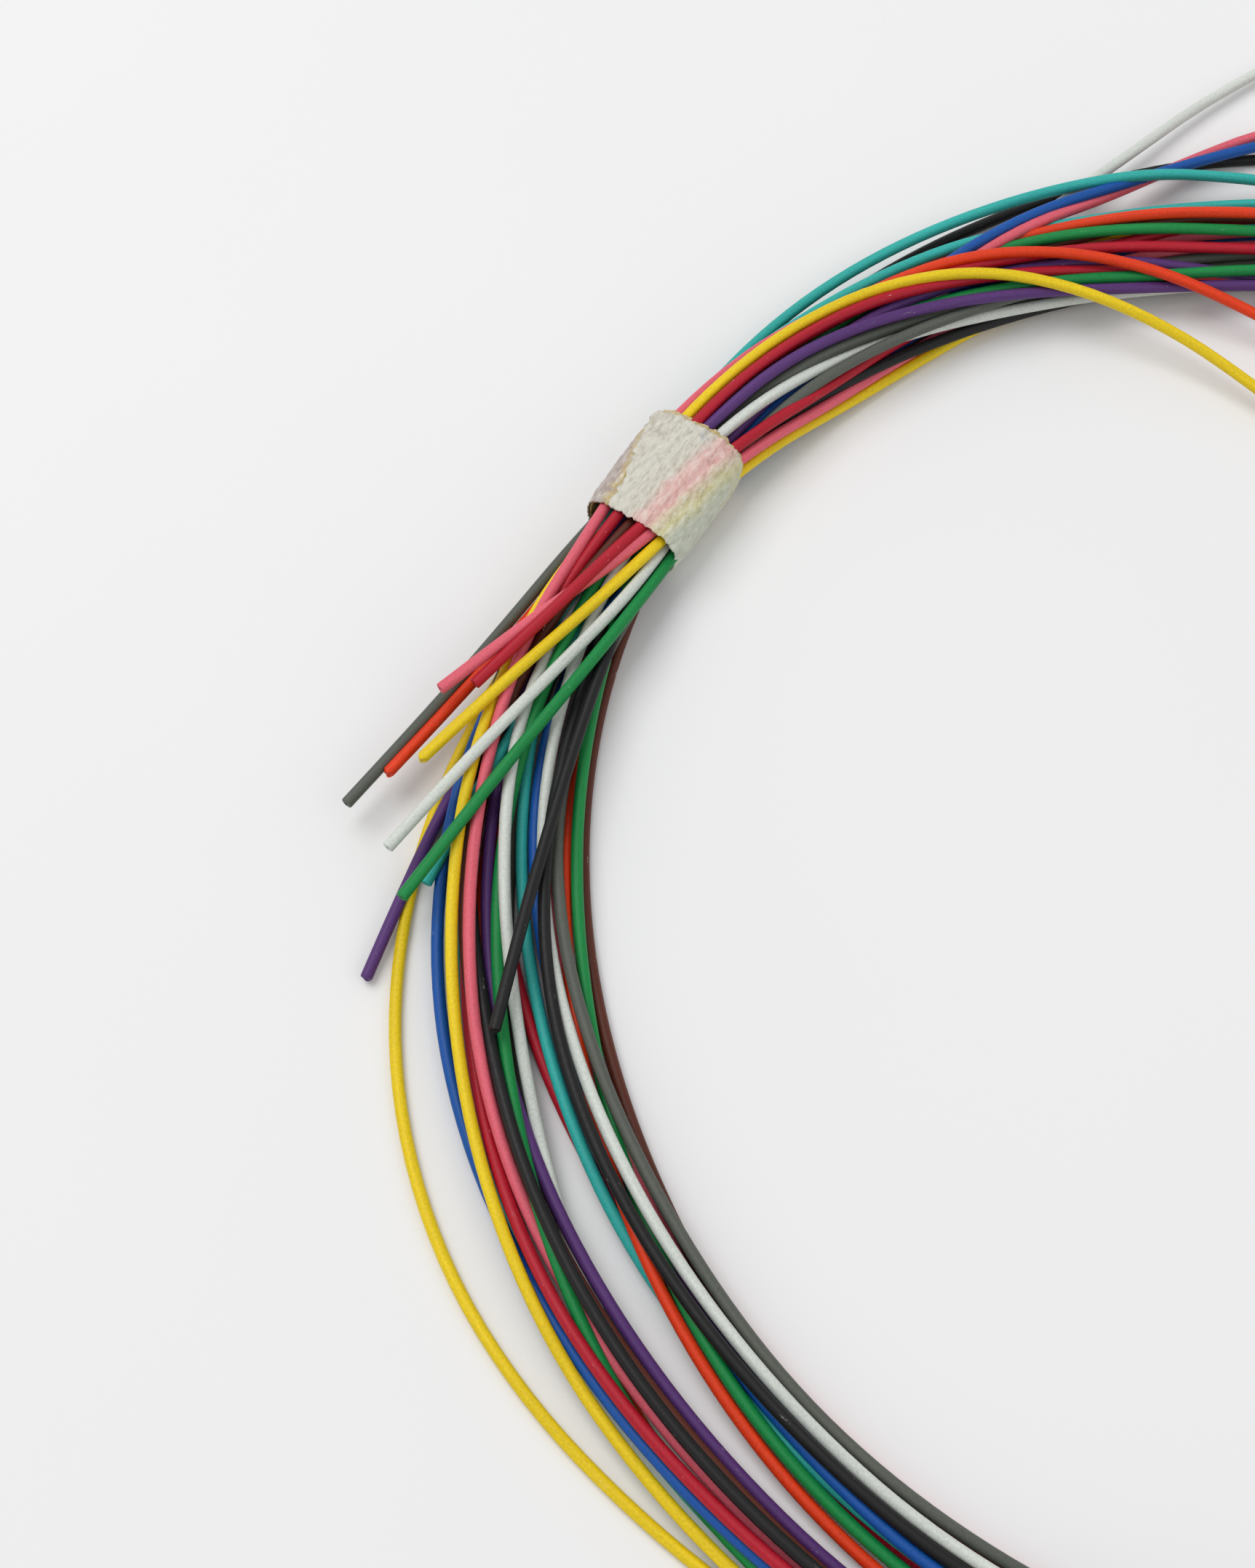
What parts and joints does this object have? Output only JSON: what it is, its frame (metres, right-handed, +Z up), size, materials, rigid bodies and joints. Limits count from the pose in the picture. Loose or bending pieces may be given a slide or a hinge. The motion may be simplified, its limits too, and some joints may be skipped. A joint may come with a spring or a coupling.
{
  "type": "taped coil of colour-coded tight-buffered fibre strands",
  "caption": "Ring-shaped coil of thin colour-coded buffered fibre strands, bound in one place by a band of masking tape, with loose cut ends fanning out.",
  "frame": {"origin": "centre of the underside of the box round the coil, on the surface that it lies on", "axes": "+Z up from the surface; the ring lies in the XY plane; the tape is on the left and away, with the cut ends fanning towards -X; +X to the right and +Y away from a viewer in front"},
  "size_m": [0.1388, 0.148, 0.0062],
  "materials": {
    "masking_tape": "matte",
    "fibre": "gloss",
    "yellow_jacket": "matte",
    "red_jacket": "matte",
    "pink_jacket": "matte",
    "white_jacket": "matte",
    "green_jacket": "matte",
    "violet_jacket": "matte",
    "grey_jacket": "matte",
    "orange_jacket": "matte",
    "brown_jacket": "matte",
    "blue_jacket": "matte",
    "aqua_jacket": "matte",
    "black_jacket": "matte"
  },
  "bodies": {
    "root": {"masking_tape": "masking_tape", "yellow_jacket": "yellow_jacket", "red_jacket": "red_jacket", "pink_jacket": "pink_jacket", "white_jacket": "white_jacket", "green_jacket": "green_jacket", "violet_jacket": "violet_jacket", "grey_jacket": "grey_jacket", "orange_jacket": "orange_jacket", "brown_jacket": "brown_jacket", "blue_jacket": "blue_jacket", "aqua_jacket": "aqua_jacket", "black_jacket": "black_jacket", "yellow_fibre": "fibre", "red_fibre": "fibre", "pink_fibre": "fibre", "white_fibre": "fibre", "green_fibre": "fibre", "violet_fibre": "fibre", "grey_fibre": "fibre", "orange_fibre": "fibre", "brown_fibre": "fibre", "blue_fibre": "fibre", "aqua_fibre": "fibre", "black_fibre": "fibre"}
  },
  "joints": []
}
